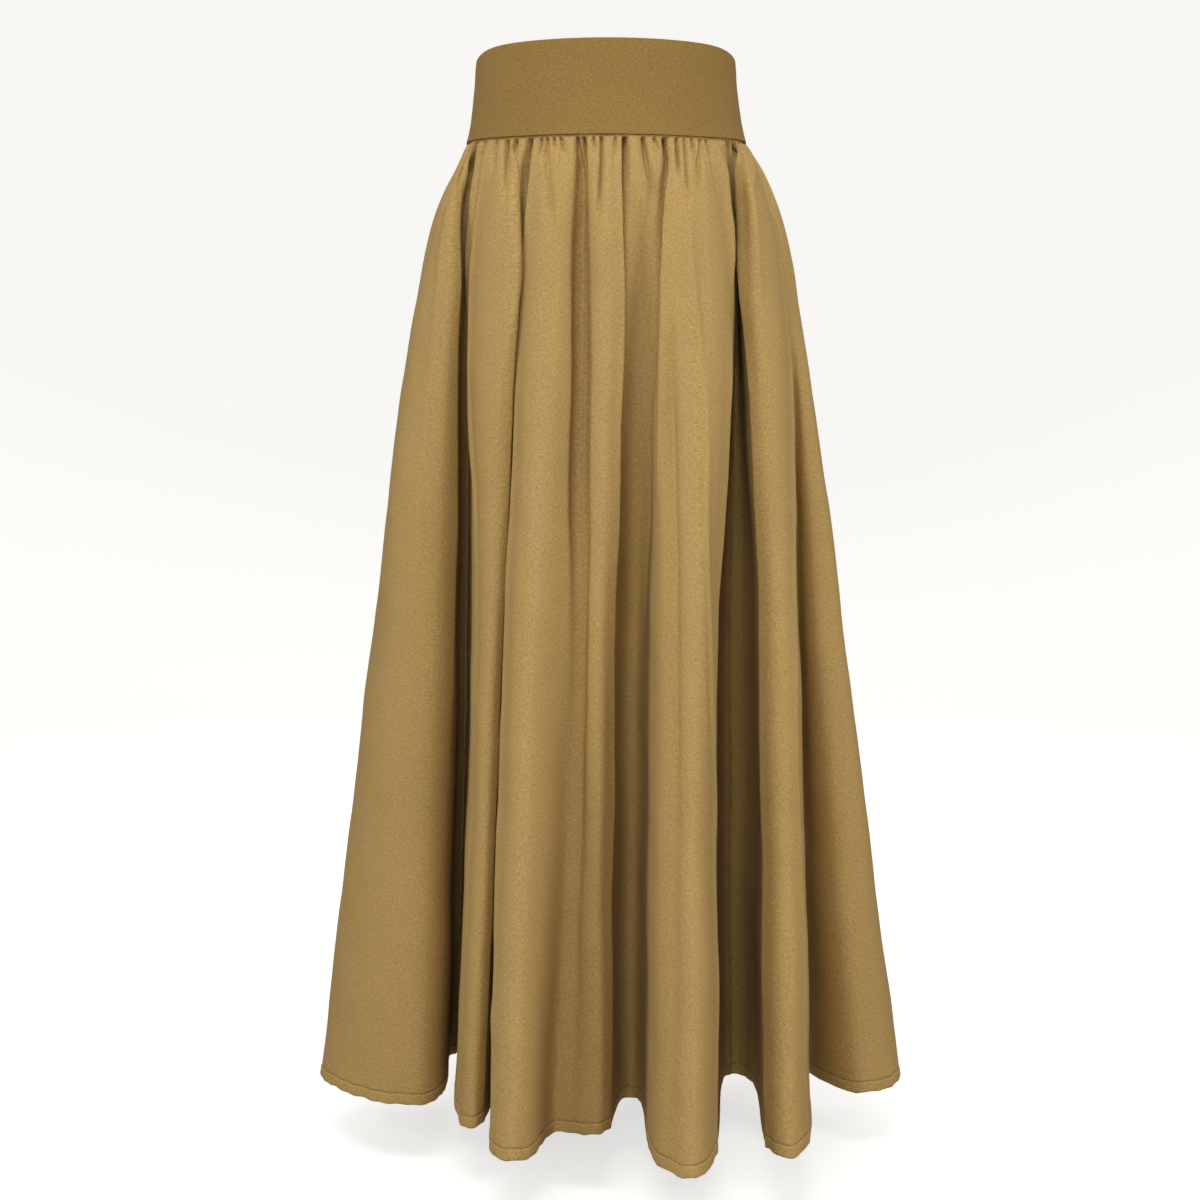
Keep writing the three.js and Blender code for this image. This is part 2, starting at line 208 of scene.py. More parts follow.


# %% [markdown]
# ## Gathers, creases and wrinkles
# Three smaller sorts of relief ride on the big folds. Notches are the pinched lines where
# the gathering thread pulls the cloth in, with a round puff between each two. Creases are
# long soft ridges and troughs that run on from a gather. Wrinkles are short and slanted,
# near the hem. All of them lift the cloth square to its surface by a few millimetres.
# On the front they are set where the cloth shows them, each as a path of waist
# angle and height; round the sides and back they follow the same habit, unevenly spaced.

# %% Notches and creases on the front
# path: pairs of waist angle and height. rise: mm, minus for a trough. width: mm, top and
# low. lip: mm by which the cloth beside a trough stands up, plus on the left of it.
Crease = namedtuple("Crease", "path rise width lip", defaults=[0.0])
NOTCHES = [
    Crease(((-85.0, -67), (-84.0, -150)), -4.0, (2.0, 6.0)),
    Crease(((-76.0, -67), (-75.0, -120)), -4.0, (2.0, 4.0)),
    Crease(((-68.2, -67), (-68.8, -89), (-70.2, -120), (-70.8, -158), (-72.0, -300)),
           -9.0, (2.2, 4.2), 2.0),
    Crease(((-58.5, -67), (-62.0, -95)), -3.0, (1.6, 2.4)),
    Crease(((-51.0, -67), (-54.0, -110)), -3.2, (1.8, 4.0)),
    Crease(((-44.1, -67), (-45.5, -92), (-46.7, -108), (-49.1, -140)), -5.0, (1.8, 3.4), 1.0),
    Crease(((-39.1, -67), (-40.6, -88)), -4.6, (1.7, 2.0)),
    Crease(((-31.9, -67), (-31.6, -97), (-30.9, -125), (-32.1, -172), (-33.9, -340)),
           -8.0, (1.8, 3.4), 2.4),
    Crease(((-26.8, -67), (-26.8, -90)), -3.6, (1.4, 2.2)),
    Crease(((-24.5, -67), (-23.4, -95), (-22.2, -128), (-21.8, -172)), -4.6, (1.6, 4.4)),
    Crease(((-21.5, -67), (-20.2, -84)), -3.8, (1.4, 1.8)),
    Crease(((-18.6, -67), (-15.8, -92)), -3.4, (1.5, 2.2)),
    Crease(((-11.7, -67), (-10.9, -95), (-10.6, -130)), -6.0, (1.7, 2.2), 1.4),
    Crease(((-8.8, -67), (-9.3, -105), (-9.9, -130)), -6.0, (1.7, 2.2), -1.0),
    Crease(((-5.2, -67), (-4.0, -88)), -4.0, (1.5, 2.0)),
    Crease(((-2.0, -67), (-2.3, -92), (-3.2, -116), (-4.2, -160)), -5.2, (1.7, 3.8), 1.0),
    Crease(((3.7, -67), (3.2, -90)), -2.8, (1.5, 2.4)),
    Crease(((7.3, -67), (6.6, -90), (5.8, -110), (5.0, -160), (4.7, -430)), -9.0, (2.1, 3.6), 2.0),
    Crease(((14.6, -67), (14.6, -91), (15.4, -114), (15.7, -150)), -5.2, (1.7, 4.2)),
    Crease(((19.2, -67), (22.5, -90)), -3.6, (1.5, 2.0), 0.8),
    Crease(((24.1, -67), (23.6, -91), (21.2, -119), (19.8, -147), (18.6, -220), (16.5, -330),
            (15.5, -560)), -9.0, (2.4, 5.0)),
    Crease(((29.5, -67), (29.0, -83), (29.0, -112)), -5.0, (1.6, 2.2)),
    Crease(((32.8, -67), (31.9, -100), (32.8, -150)), -3.0, (1.5, 3.0), 1.2),
    Crease(((36.8, -67), (35.7, -86)), -3.2, (1.5, 1.8)),
    Crease(((41.5, -67), (37.6, -89), (34.8, -125)), -4.8, (1.6, 3.2)),
    Crease(((44.3, -67), (44.6, -94)), -3.4, (1.5, 2.4)),
    Crease(((59.2, -67), (58.7, -83), (55.0, -121), (52.0, -150), (53.0, -290)), -9.0, (1.8, 3.6), 1.8),
    Crease(((65.3, -67), (64.7, -80), (64.4, -97), (65.0, -140)), -5.6, (1.8, 3.0)),
    Crease(((71.0, -67), (67.0, -100)), -2.8, (1.6, 3.0)),
    Crease(((82.0, -67), (79.0, -105), (77.5, -150)), -3.8, (1.8, 4.0)),
    Crease(((88.0, -67), (80.5, -130), (80.0, -260)), -5.0, (1.9, 4.0), 2.0),
    Crease(((95.0, -67), (92.0, -120)), -3.6, (1.8, 4.0)),
    Crease(((101.0, -67), (101.0, -130)), -4.0, (1.8, 4.0)),
]
LONG_CREASES = [
    Crease(((-82.3, -74), (-79.5, -102), (-79.2, -230), (-80.9, -500), (-81.4, -660)), 2.6, (4, 10)),
    Crease(((-39.1, -150), (-46.2, -224), (-48.8, -269), (-50.7, -420)), 2.4, (6, 7)),
    Crease(((-10.3, -80), (-10.8, -160), (-11.0, -300), (-11.2, -560)), -15.0, (3.6, 8.0), 1.5),
    Crease(((77.3, -70), (70.5, -114), (70.8, -152), (71.6, -260)), 2.6, (4, 6)),
    Crease(((89.2, -250), (90.4, -560)), 2.2, (6, 9)),
]
# Where a fold turns from its face into its side the cloth is nearly sharp, as if pressed by
# its own weight. Each of these runs on past the hem, so it keeps its height down to there.
PAST_HEM = -1300
FOLD_EDGES = {
    "fold one right": Crease(((-75.5, -120), (-75.0, -200), (-74.6, -310), (-75.0, -500),
                              (-75.8, -760)), 3.2, (4, 11)),
    "fold two left": Crease(((-53.8, -70), (-56.6, -80), (-58.2, -136), (-58.2, -207),
                             (-57.6, -259), (-57.4, -348), (-55.9, -416), (-53.9, -498),
                             (-53.4, -600)), 2.8, (3, 10)),
    "fold two right": Crease(((-42.5, -110), (-44.8, -160), (-45.6, -220), (-46.2, -300),
                              (-46.2, -600), (-46.6, -760), (-47.2, PAST_HEM)), 2.2, (3, 7)),
    "fold three left": Crease(((-27.6, -120), (-27.6, -200), (-27.0, -300), (-26.6, -400),
                               (-26.2, -500), (-25.8, -620), (-25.3, -760), (-24.4, -930),
                               (-24.2, PAST_HEM)), 4.0, (4, 11)),
    "fold four right": Crease(((5.0, -85), (4.2, -110), (3.6, -135), (3.2, -160), (3.0, -220),
                               (2.6, -300), (2.2, -420), (1.8, -531), (1.5, -676),
                               (1.2, -859), (0.8, PAST_HEM)), 4.2, (3, 9)),
    "fold five left": Crease(((24.6, -90), (24.0, -110), (23.0, -147), (24.8, -220),
                              (25.0, -300), (25.0, -440)), 4.4, (3, 6)),
    "fold five right": Crease(((31.9, -85), (32.2, -102), (33.0, -160), (34.1, -212),
                               (35.7, -296), (37.3, -401), (39.3, -490), (40.9, -585),
                               (43.2, -657), (43.4, -758), (42.6, PAST_HEM)), 3.2, (4, 10)),
    "fold six left": Crease(((67.6, -180), (68.3, -247), (69.3, -302), (69.8, -370),
                             (69.6, -500), (69.4, -760), (69.6, PAST_HEM)), 3.4, (4, 11)),
    "fold six right": Crease(((78.2, -130), (77.4, -205), (77.0, -250), (75.3, -354),
                              (74.4, -450), (73.5, -577), (73.5, -661), (74.0, -804),
                              (74.2, PAST_HEM)), 2.6, (4, 9)),
}
# Right under the band the faces of the folds lie flat almost to the next line.
SHOULDERS = [
    Crease(((-74.0, -80), (-75.0, -120), (-75.2, -200), (-75.0, -300)), 4.0, (8, 6)),
    Crease(((-39.0, -78), (-40.5, -108), (-42.5, -135), (-43.6, -165), (-44.2, -230)), 6.0, (10, 5)),
    Crease(((-27.5, -78), (-28.2, -110), (-28.2, -160), (-27.8, -215)), 4.0, (7, 5)),
    Crease(((50.0, -80), (48.5, -108), (46.5, -135), (45.5, -160), (44.5, -230)), 6.0, (8, 5)),
    Crease(((-60.5, -80), (-61.5, -130), (-61.0, -200), (-60.0, -270)), 6.5, (6, 7)),
    Crease(((66.8, -80), (66.8, -130), (68.0, -200), (68.5, -270)), 7.0, (6, 7)),
]
# Flanks, where the cloth beside a fold is drawn in or stands out.
FLANKS = [
    Crease(((-93.0, -69), (-91.0, -150), (-90.0, -255)), -6.0, (26, 32)),
    Crease(((43.0, -230), (44.0, -420), (45.0, -660)), 3.6, (8, 12)),
    Crease(((27.5, -230), (29.0, -330), (31.0, -455), (31.5, -600), (32.0, PAST_HEM)),
           -9.0, (6, 15)),
    Crease(((-57.0, -280), (-54.5, -500), (-54.0, -760), (-54.0, PAST_HEM)), -4.0, (6, 9)),
]
# Lines that the weave of the grid follows down the cloth, so that their edges stay crisp.
FOLLOWED = [
    ((-67.0, -67),),
    ((-54.0, -67), *FOLD_EDGES["fold two left"].path),
    ((-43.2, -67), *FOLD_EDGES["fold two right"].path),
    ((-31.9, -67), (-31.6, -97), (-30.9, -125), (-32.1, -172), (-33.9, -300)),
    ((-26.8, -67), *FOLD_EDGES["fold three left"].path),
    ((-10.25, -67), (-10.8, -160), (-11.0, -300)),
    ((6.4, -67), *FOLD_EDGES["fold four right"].path),
    ((24.6, -67), *FOLD_EDGES["fold five left"].path),
    ((32.8, -67), *FOLD_EDGES["fold five right"].path),
    ((59.2, -67), (58.7, -83), (55.0, -121), (52.0, -150), (53.0, -250)),
    ((61.0, -67),),
    ((65.3, -67), (64.7, -80), (64.4, -97), (65.4, -140), *FOLD_EDGES["fold six left"].path),
    ((82.0, -67), (79.4, -105), *FOLD_EDGES["fold six right"].path),
    ((88.0, -67), (80.5, -130), (80.0, -260)),
    ((105.0, -67),),
    ((180.0, -67),),
    ((264.0, -67),),
    ((284.6, -67), *((line + 360, z) for line, z in FOLD_EDGES["fold one right"].path)),
    ((291.8, -67), (291.2, -89), (289.8, -120), (289.2, -158), (288.0, -260)),
    ((293.0, -67),),
]

# %% Notches and creases round the back
BACK_FIRST = 107.0
BACK_LAST = 257.0
BACK_NOTCHES = 27


def chance(n):
    value = np.abs(np.sin((np.asarray(n, dtype=float) + 1) * 12.9898) * 43758.5453)
    return value % 1.0


def back_notches():
    made = []
    for k in range(BACK_NOTCHES):
        line = BACK_FIRST + (BACK_LAST - BACK_FIRST) * (k + 0.55 * chance(k)) / BACK_NOTCHES
        long_one = k % 4 == 1
        length = 90 + 60 * chance(k + 40) if long_one else 18 + 45 * chance(k + 70) ** 2
        drift = 4 * (chance(k + 11) - 0.5)
        rise = -5.0 if long_one else -2.6 - 2.0 * chance(k + 5)
        path = ((line, -67), (line + drift * 0.6, -67 - length * 0.5), (line + drift, -67 - length))
        made.append(Crease(path, rise, (1.6, 3.4 if long_one else 2.4)))
    return made


NOTCHES = NOTCHES + back_notches()
BACK_RIDGES = [
    Crease(((119, -90), (120, -260), (121, -480)), 2.0, (4, 8)),
    Crease(((149, -90), (147, -230), (146, -420)), 2.2, (4, 8)),
    Crease(((172, -100), (170, -260), (169, -560)), 1.8, (4, 8)),
    Crease(((196, -90), (195, -240), (194, -450)), 2.0, (4, 8)),
    Crease(((220, -90), (218, -250), (217, -500)), 2.0, (4, 8)),
    Crease(((243, -90), (242, -230), (241, -430)), 2.0, (4, 8)),
]
CREASES = NOTCHES + LONG_CREASES + SHOULDERS + FLANKS + BACK_RIDGES + list(FOLD_EDGES.values())
print("gather notches:", len(NOTCHES), " long creases:", len(LONG_CREASES) + len(BACK_RIDGES))

# %% Short wrinkles near the hem
Wrinkle = namedtuple("Wrinkle", "line z length slant rise width")
WRINKLES = [
    Wrinkle(30.9, -917, 30, 38, 1.3, 6),
    Wrinkle(33.6, -906, 26, -34, 1.1, 6),
    Wrinkle(31.9, -948, 24, 42, 1.1, 5),
    Wrinkle(69.4, -928, 28, -36, 1.3, 6),
    Wrinkle(72.2, -914, 24, 32, 1.1, 5),
    Wrinkle(72.3, -816, 22, 84, 1.0, 4),
    Wrinkle(-24.8, -860, 30, 30, 1.0, 7),
    Wrinkle(-20.5, -800, 34, -24, 1.0, 8),
    Wrinkle(-50.0, -900, 26, 34, 0.9, 6),
    Wrinkle(-82.0, -880, 34, -30, 1.0, 8),
    Wrinkle(124.0, -900, 30, 32, 1.2, 6),
    Wrinkle(146.0, -930, 26, -36, 1.2, 6),
    Wrinkle(168.5, -905, 28, 36, 1.1, 6),
    Wrinkle(192.0, -925, 26, -30, 1.2, 6),
    Wrinkle(217.0, -890, 30, 34, 1.1, 7),
    Wrinkle(239.0, -915, 26, -38, 1.2, 6),
]

# %% Patches where the cloth is a little puckered
Patch = namedtuple("Patch", "line z half_degrees half_height strength")
PUCKERED = [
    Patch(-6.5, -740, 3.5, 260, 1.0),
    Patch(21.5, -560, 4.0, 260, 0.8),
    Patch(-26.0, -830, 4.0, 150, 0.5),
    Patch(-47.0, -600, 5.0, 240, 0.4),
    Patch(-76.0, -640, 3.0, 200, 0.4),
    Patch(69.0, -640, 4.0, 260, 0.5),
    Patch(30.0, -900, 6.0, 70, 0.7),
    Patch(71.0, -905, 5.0, 60, 0.7),
    Patch(126.0, -700, 5.0, 240, 0.6),
    Patch(150.0, -640, 4.0, 260, 0.7),
    Patch(172.0, -760, 4.0, 220, 0.6),
    Patch(198.0, -620, 4.0, 240, 0.7),
    Patch(221.0, -740, 4.0, 240, 0.6),
    Patch(244.0, -680, 5.0, 240, 0.5),
]


def puckered(line, z):
    amount = np.zeros(line.shape)
    for patch in PUCKERED:
        side = ((line - patch.line + 180) % 360 - 180) / patch.half_degrees
        up = (z - patch.z) / patch.half_height
        amount += patch.strength * np.exp(-side**2 - up**2)
    return np.clip(amount, 0, 1)


# %% Relief of the placed notches, creases and wrinkles
LIP_WIDTH = 7.0
NOTCH_DEPTH = 1.5


def smooth_step(share):
    share = np.clip(share, 0, 1)
    return share * share * (3 - 2 * share)


def path_at(path, z):
    angles, heights = np.array(path, dtype=float).T
    return np.interp(-z, -heights, angles)


def placed_relief(line, scale, z):
    lift = np.zeros(line.shape)
    for crease in CREASES:
        top = crease.path[0][1]
        share = (top - z) / (top - crease.path[-1][1])
        easing_in = 1 if top > -68 else smooth_step(share * 5 + 0.3)
        inside = easing_in * smooth_step((1 - share) * 1.8)
        width = crease.width[0] + (crease.width[1] - crease.width[0]) * np.clip(share, 0, 1)
        away = ((line - path_at(crease.path, z) + 180) % 360 - 180) * scale
        groove = np.exp(-np.abs(away / width) ** 1.5)
        side = np.clip(-away * np.sign(crease.lip), 0, None)
        lip = abs(crease.lip) * (side > 0) * np.exp(-side / LIP_WIDTH) * (1 - groove)
        deeper = NOTCH_DEPTH if top > -68 else 1
        lift += inside * (deeper * crease.rise * groove + lip)
    for w in WRINKLES:
        side = ((line - w.line + 180) % 360 - 180) * scale
        up = z - w.z
        slant = math.radians(w.slant)
        along = up * math.cos(slant) + side * math.sin(slant)
        across = side * math.cos(slant) - up * math.sin(slant)
        lift += w.rise * np.exp(-(along / w.length) ** 2 - (across / w.width) ** 2)
    return lift


# %% Round puffs between the notches
PUFF_SHARE = 0.30
PUFF_MOST = 5.0
PUFF_SUNK = 0.4
PUFF_SHOULDER = 7.0
PUFF_LENGTH = 20.0


def seam_knots():
    first = FOLDS["left seam"].at
    tops = [crease.path[0][0] for crease in NOTCHES]
    tops += [FOLDS[name].at for name in ("left seam", "right seam", "back seam")]
    knots = sorted({round((angle - first) % 360 + first, 2) for angle in tops})
    return np.array(knots + [first + 360])


KNOTS = seam_knots()


def puff_relief(line, width_mm, z):
    k = np.clip(np.searchsorted(KNOTS, line, side="right") - 1, 0, len(KNOTS) - 2)
    share = (line - KNOTS[k]) / (KNOTS[k + 1] - KNOTS[k])
    wide = width_mm * (KNOTS[k + 1] - KNOTS[k])
    height = np.minimum(PUFF_SHARE * wide, PUFF_MOST) * (0.8 + 0.4 * chance(k))
    round_top = np.sin(math.pi * np.clip(share, 0, 1)) ** 0.8
    length = PUFF_LENGTH + 1.1 * wide
    drop = np.maximum(SEAM_Z - z, 0)[None, :]
    shoulder = np.sqrt(1 - (1 - np.clip(drop / PUFF_SHOULDER, 0, 1)) ** 2)
    fade = np.exp(-(drop / length[:, None]) ** 1.6)
    return (height * (round_top - PUFF_SUNK))[:, None] * shoulder * fade


# %% Soft unevenness of hanging cloth
TURNS_PER_DEGREE = 0.175
SOFT_WAVES = [
    (0.50, 230.0, 0.9, 0.3),
    (0.28, 138.0, 1.7, 2.1),
    (0.14, 77.0, 2.6, 4.4),
    (0.08, 43.0, 3.4, 1.2),
]


def soft_unevenness(line, z):
    number = line * TURNS_PER_DEGREE
    drop = np.clip((SEAM_Z - z) / 120, 0, 1)
    lift = np.zeros(line.shape)
    for height, length, turns, start in SOFT_WAVES:
        lean = 1.3 * np.sin(number * 0.7 + start)
        lift += height * np.sin(2 * math.pi * z / length + turns * number + lean)
    return lift * drop


# %% [markdown]
# ## Cutting the panels
# Each panel starts as a flat grid of squares, like a piece of cloth on the table. Every
# corner of the grid is then moved to its place on the drape. The rings of the grid lie
# closer together under the band and at the hem, where the relief is finest.

# %% The rings and columns of the grid
COLUMNS_PER_DEGREE = 2.05
FEWEST_COLUMNS = 5
CROWDING = 0.42
EXTRA_COLUMNS = (-0.7, -0.4, -0.15, 0.15, 0.4, 0.7)
HEM_ROUND = 0.6


def ring_heights():
    parts = [
        np.linspace(TUCK_Z, SEAM_Z, 3)[:-1],
        np.linspace(SEAM_Z, -79, 13)[:-1],
        np.linspace(-79, -130, 21)[:-1],
        np.linspace(-130, -220, 17)[:-1],
        np.linspace(-220, HEM_Z + 20, 73)[:-1],
        np.linspace(HEM_Z + 20, HEM_Z + 13, 5)[:-1],
        np.linspace(HEM_Z + 13, HEM_Z + 8, 10)[:-1],
        np.linspace(HEM_Z + 8, HEM_Z + 1.6, 5)[:-1],
        np.array([HEM_Z + 1.6, HEM_Z + 0.8, HEM_Z + 0.25, HEM_Z]),
    ]
    return np.concatenate(parts)


def panel_lines(first, last):
    knots = [knot for knot in KNOTS if first <= knot <= last]
    lines = []
    for a, b in zip(knots, knots[1:]):
        steps = max(FEWEST_COLUMNS, round((b - a) * COLUMNS_PER_DEGREE))
        share = np.arange(steps) / steps
        share = share - CROWDING * np.sin(2 * math.pi * share) / (2 * math.pi)
        lines.extend(a + (b - a) * share)
    for path in FOLLOWED:
        lines.extend(path[0][0] + step for step in EXTRA_COLUMNS)
    lines = [line for line in lines if first <= line < last]
    return np.array(sorted(lines) + [last])


def follow(start, z):
    tops = [path[0][0] for path in FOLLOWED]
    lines = [np.interp(start, tops, [path_at(path, height) for path in FOLLOWED]) for height in z]
    return np.array(lines).T


def fold_place(line):
    ats = np.array([fold.at for fold in ROWS] + [ROWS[0].at + 360], dtype=float)
    turned = (line - ats[0]) % 360 + ats[0]
    row = np.clip(np.searchsorted(ats, turned, side="right") - 1, 0, len(ROWS) - 1)
    return row, (turned - ats[row]) / (ats[row + 1] - ats[row])


RINGS = ring_heights()
print("rings:", len(RINGS))

# %% The drape: every corner of a panel's grid
SEAM_DITCH = 0.7
SEAM_DITCH_WIDTH = 2.6
STITCH_UP = 10.4
STITCH_PULL = 0.9
SIDE_LIFT = 4.5


def hem_lift(length, z):
    up = np.clip(z - HEM_Z, 0, 60)
    lift = 0.5 / (1 + np.exp((up - STITCH_UP) / 0.5))
    lift = lift - STITCH_PULL * np.exp(-((up - STITCH_UP) / 0.9) ** 2)
    lift = lift - HEM_ROUND * np.clip(1 - up / 1.6, 0, 1) ** 2
    run = length[:, -1]
    pucker = 0.35 * np.sin(run / 3.4 + 2.0 * np.sin(run / 47.0)) * (0.6 + 0.4 * np.sin(run / 31.0))
    near = np.exp(-((up - STITCH_UP * 0.7) / 9.0) ** 2)
    return lift[None, :] + pucker[:, None] * near[None, :]


def drape(first, last):
    start_line = panel_lines(first, last)
    z = RINGS
    line = follow(start_line, z)
    row, t = fold_place(line)
    point, along = plan_curve(row, t, z)
    step = np.hypot(np.gradient(point[0], axis=0), np.gradient(point[1], axis=0))
    scale = step / np.gradient(line, axis=0)
    length = np.cumsum(step, axis=0) - step[0]
    turn = np.radians(start_line)
    reach = np.hypot(SEAM_HALF_WIDTH * np.cos(turn), SEAM_HALF_DEPTH * np.sin(turn))
    lift = puff_relief(start_line, reach * math.pi / 180, z) + placed_relief(line, scale, z)
    lift = lift + soft_unevenness(line, z) + hem_lift(length, z)
    start = np.clip((SEAM_Z - z) / 3, 0, 1)[None, :]
    lift = lift * start + np.where(z > SEAM_Z, -TUCK_INSET, 0)[None, :]
    edge = np.minimum(length, length[-1] - length)
    lift = lift - SEAM_DITCH * start * np.exp(-(edge / SEAM_DITCH_WIDTH) ** 2)
    x = point[0] - along[1] * lift
    out = point[1] + along[0] * lift
    drop = np.clip((SEAM_Z - z) / (SEAM_Z - HEM_Z), 0, 1) ** 4
    ragged = 1.4 * np.sin(start_line * 0.158 + 1.0) + 0.8 * np.sin(start_line * 0.4)
    run = length[:, -1]
    wavy = 0.5 * np.sin(run / 3.1 + 1.7 * np.sin(run / 29.0)) + 0.5 * np.sin(run / 7.3)
    hem_only = np.clip(1 - (z - HEM_Z) / 40, 0, 1)
    height = z[None, :] + ragged[:, None] * drop[None, :] + wavy[:, None] * hem_only[None, :]
    height = height + side_lift(turn[:, None], z[None, :])
    places = np.stack([x, -out, np.broadcast_to(height, x.shape)], axis=2)
    return places, length, puckered(line, z)


def side_lift(turn, z):
    return SIDE_LIFT * np.sin(turn) ** 4 * np.clip(1 - (SEAM_Z - z) / 90, 0, 1)


# %% A panel of cloth from a grid
CLOTH_WALL = 1.6
THIN_SHARE = 0.5


def cloth_panel(name, first, last):
    places, length, amount = drape(first, last)
    columns, rings = places.shape[:2]
    print(name, "grid:", columns, "x", rings)
    mesh = bpy.data.meshes.new(name)
    bm = bmesh.new()
    bmesh.ops.create_grid(bm, x_segments=columns - 1, y_segments=rings - 1, size=0.5)
    bm.verts.ensure_lookup_table()
    uv = bm.loops.layers.uv.new("cloth")
    pucker = bm.verts.layers.float.new("pucker")
    middle = length[columns // 2]
    where = {}
    for vert in bm.verts:
        c = round((vert.co.x + 0.5) * (columns - 1))
        r = round((0.5 - vert.co.y) * (rings - 1))
        where[vert.index] = (c, r)
    for vert in bm.verts:
        c, r = where[vert.index]
        vert.co = Vector(places[c, r] * MM)
        vert[pucker] = amount[c, r]
    for face in bm.faces:
        for loop in face.loops:
            c, r = where[loop.vert.index]
            loop[uv].uv = ((length[c, r] - middle[r]) * MM, RINGS[r] * MM)
        face.smooth = True
    bm.to_mesh(mesh)
    bm.free()
    piece = bpy.data.objects.new(name, mesh)
    bpy.context.collection.objects.link(piece)
    return piece, places, length


# %% [markdown]
# The wall comes from a Solidify modifier that adds thickness inwards. A vertex group
# makes it thin on the body of the skirt and double on the turned-up hem.

# %% Three panels, each a wall of cloth
PANELS = {
    "skirt_front": ("left seam", "right seam"),
    "skirt_back_left": ("right seam", "back seam"),
    "skirt_back_right": ("back seam", "left seam"),
}
cloth = {}
hem_paths = {}
for node, (first, last) in PANELS.items():
    start_line = FOLDS[first].at
    end_line = start_line + (FOLDS[last].at - start_line) % 360
    piece, places, length = cloth_panel("draped_" + node, start_line, end_line)
    thick = piece.vertex_groups.new(name="turn_up")
    heights = [vert.co.z / MM for vert in piece.data.vertices]
    for index, height in enumerate(heights):
        thick.add([index], 1.0 if height < HEM_Z + TURN_UP else THIN_SHARE, "REPLACE")
    wall = piece.modifiers.new("wall", "SOLIDIFY")
    wall.thickness = CLOTH_WALL * MM
    wall.offset = -1
    wall.vertex_group = "turn_up"
    wall.use_rim = True
    cloth[node] = piece
    hem_paths[node] = places
    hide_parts(node)
    print(node, "hem, mm round:", round(float(length[-1, -1])),
          " waist, mm round:", round(float(length[-1, 2])))

# %% [markdown]
# ## The waistband
# The band is two curved strips of double cloth, joined at the sides. Each strip is a grid
# bent round the waist, given its thickness, and rounded along its edges, because a folded
# edge of stiffened cloth is never sharp. It flares a little where the gathers push it out.

# %% Profile of the band
BandRing = namedtuple("BandRing", "z half_width half_depth")
BAND_RINGS = [
    BandRing(BAND_BOTTOM, 135.0, 95.0),
    BandRing(-58, 132.8, 93.8),
    BandRing(-46, 130.4, 92.8),
    BandRing(-28, 128.2, 91.6),
    BandRing(-6, 126.0, 90.3),
    BandRing(12, 125.2, 89.8),
    BandRing(BAND_TOP, 124.4, 89.4),
]
BAND_COLUMNS = 150
BAND_ROWS = 40
BAND_EDGE = 0.5
BAND_SIDE_DIP = 6.5
BAND_SEAM_HALF_GAP = 0.1
BAND_MEAN_REACH = 112


def band_half_sizes(z):
    heights = [ring.z for ring in BAND_RINGS]
    wide = np.interp(z, heights, [ring.half_width for ring in BAND_RINGS])
    deep = np.interp(z, heights, [ring.half_depth for ring in BAND_RINGS])
    return wide, deep


def band_ripple(turn, z):
    slow = 0.30 * math.sin(3.1 * turn + z / 21.0)
    pulled = 0.35 * math.sin(23 * turn + 1.3) * math.exp(-(z - BAND_BOTTOM) / 9.0)
    return slow + pulled


def band_strip(name, start):
    mesh = bpy.data.meshes.new(name)
    bm = bmesh.new()
    bmesh.ops.create_grid(bm, x_segments=BAND_COLUMNS, y_segments=BAND_ROWS, size=0.5)
    uv = bm.loops.layers.uv.new("cloth")
    for face in bm.faces:
        for loop in face.loops:
            co = loop.vert.co
            loop[uv].uv = (co.x * math.pi * BAND_MEAN_REACH * MM,
                           co.y * (BAND_TOP - BAND_BOTTOM) * MM)
        face.smooth = True
    for vert in bm.verts:
        turn = math.radians(start + 180 * (vert.co.x + 0.5))
        z = BAND_BOTTOM + (BAND_TOP - BAND_BOTTOM) * (vert.co.y + 0.5)
        wide, deep = band_half_sizes(z)
        ripple = band_ripple(turn, z)
        up = (z - BAND_BOTTOM) / (BAND_TOP - BAND_BOTTOM)
        z += SIDE_LIFT * math.sin(turn) ** 4 * (1 - up)
        z -= BAND_SIDE_DIP * math.sin(turn) ** 14 * up**2
        trim = BAND_SEAM_HALF_GAP / deep * (-2 * vert.co.x)
        x = (wide + ripple) * math.sin(turn + trim)
        y = -(deep + ripple) * math.cos(turn + trim)
        vert.co = Vector((x * MM, y * MM, z * MM))
    bm.to_mesh(mesh)
    bm.free()
    strip = bpy.data.objects.new(name, mesh)
    bpy.context.collection.objects.link(strip)
    wall = strip.modifiers.new("wall", "SOLIDIFY")
    wall.thickness = BAND_WALL * MM
    wall.offset = -1
    edge = strip.modifiers.new("soft edge", "BEVEL")
    edge.width = BAND_EDGE * MM
    edge.segments = 3
    edge.limit_method = "ANGLE"
    edge.angle_limit = math.radians(60)
    return strip


band = {
    "waistband_front": band_strip("strip_waistband_front", -90),
    "waistband_back": band_strip("strip_waistband_back", 90),
}
for node, strip in band.items():
    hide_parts(node)
print("band pieces:", list(band))

# %% [markdown]
# ## Hem stitches
# One line of stitches holds the turned-up hem, about 10 mm above the edge. Each stitch is
# a short slim bead of thread, laid along the cloth, a little darker than it.

# %% Stitches along each hem
STITCH_PITCH = 3.4
STITCH_HALF = 1.35
THREAD = 0.36
STITCH_PROUD = 0.1


